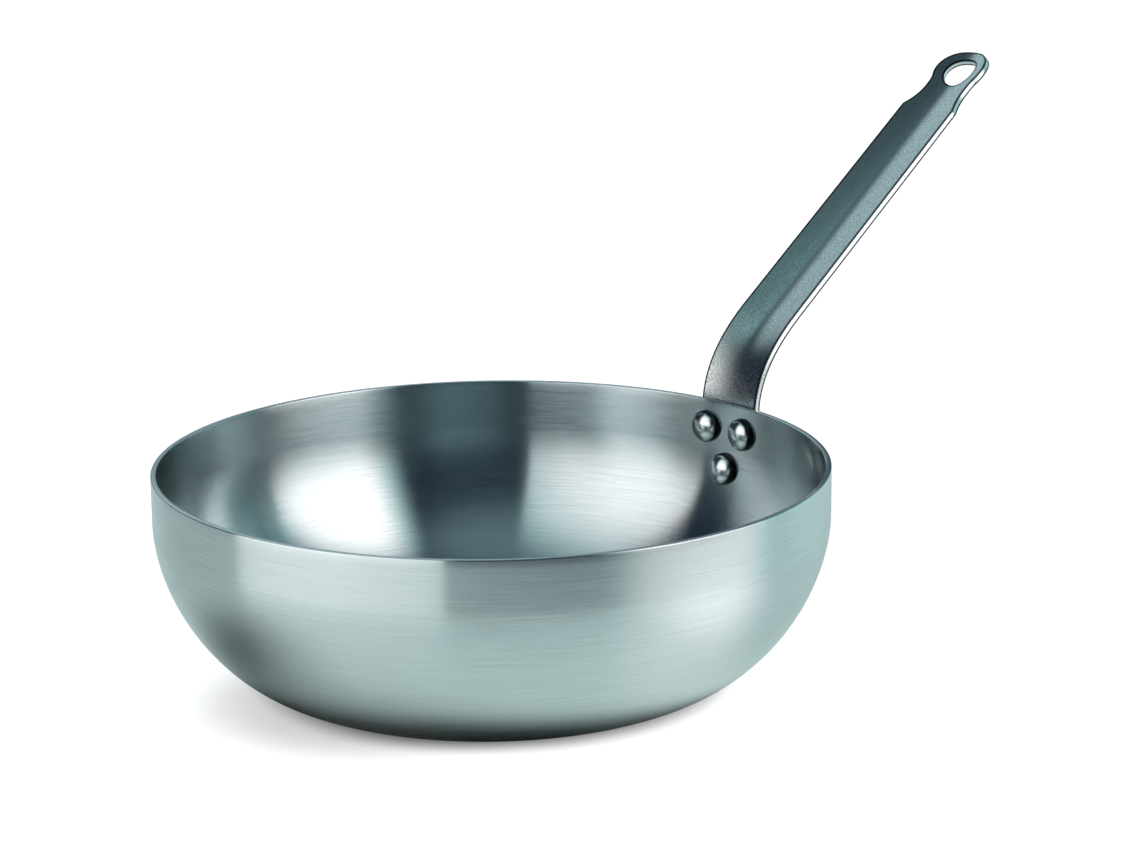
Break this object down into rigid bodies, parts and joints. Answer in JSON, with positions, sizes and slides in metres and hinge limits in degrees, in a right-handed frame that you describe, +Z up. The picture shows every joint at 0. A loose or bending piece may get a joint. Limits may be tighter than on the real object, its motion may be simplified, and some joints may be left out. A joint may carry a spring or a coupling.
{
  "type": "deep frying pan",
  "caption": "Deep steel frying pan with a rounded side, a flat base and a long bent strip handle that is riveted on and ends in a hanging eye.",
  "frame": {"origin": "centre of the flat base, on the pan's axis, at the level of the surface that it stands on", "axes": "+Z up along the pan's axis, +X along the handle towards the hanging eye"},
  "size_m": [0.4434, 0.28, 0.2267],
  "materials": {
    "brushed_shell": "stainless steel, finely brushed round the pan's axis",
    "satin_strip": "stainless steel, blasted to a fine satin",
    "polished_rivet": "stainless steel, polished"
  },
  "bodies": {
    "root": {"pan_body": "brushed_shell", "handle": "satin_strip", "rivet_left": "polished_rivet", "rivet_right": "polished_rivet", "rivet_lower": "polished_rivet"}
  },
  "joints": []
}
